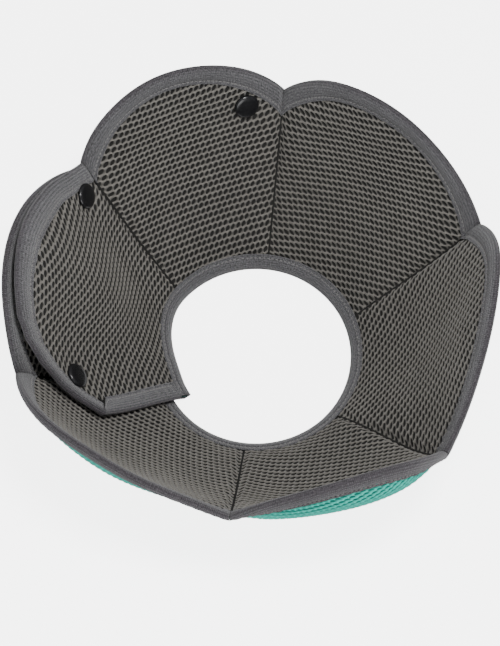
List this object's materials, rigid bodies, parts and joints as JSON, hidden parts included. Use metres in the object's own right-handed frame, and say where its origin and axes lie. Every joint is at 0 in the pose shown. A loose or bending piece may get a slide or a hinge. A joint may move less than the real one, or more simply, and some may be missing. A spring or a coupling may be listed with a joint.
{
  "type": "elizabethan collar",
  "caption": "Soft padded recovery collar: a scalloped mesh cone of sewn petals with a dark bound rim, closed round the neck by black press snaps.",
  "frame": {"origin": "on the floor under the middle of the collar's box, in the plane of the neck hem", "axes": "+Z along the neck's axis, from the neck hem up to the mouth; +Y towards the petals that are at the top of the picture; +X to the right of the picture"},
  "size_m": [0.3422, 0.3372, 0.1509],
  "materials": {
    "inner_mesh": "matte",
    "outer_mesh": "matte",
    "tape": "matte",
    "snap_plastic": "gloss"
  },
  "bodies": {
    "root": {"inner_panel_lap": "inner_mesh", "outer_panel_lap": "outer_mesh", "rim_binding_lap": "tape", "inner_panel_top_left": "inner_mesh", "outer_panel_top_left": "outer_mesh", "rim_binding_top_left": "tape", "inner_panel_top_right": "inner_mesh", "outer_panel_top_right": "outer_mesh", "rim_binding_top_right": "tape", "inner_panel_right": "inner_mesh", "outer_panel_right": "outer_mesh", "rim_binding_right": "tape", "inner_panel_lower_right": "inner_mesh", "outer_panel_lower_right": "outer_mesh", "rim_binding_lower_right": "tape", "inner_panel_lower_left": "inner_mesh", "outer_panel_lower_left": "outer_mesh", "rim_binding_lower_left": "tape", "inner_panel_under": "inner_mesh", "outer_panel_under": "outer_mesh", "rim_binding_under": "tape", "neck_binding": "tape", "snap_cap_1": "snap_plastic", "snap_back_1": "snap_plastic", "snap_cap_2": "snap_plastic", "snap_back_2": "snap_plastic", "snap_cap_3": "snap_plastic", "snap_back_3": "snap_plastic"}
  },
  "joints": []
}
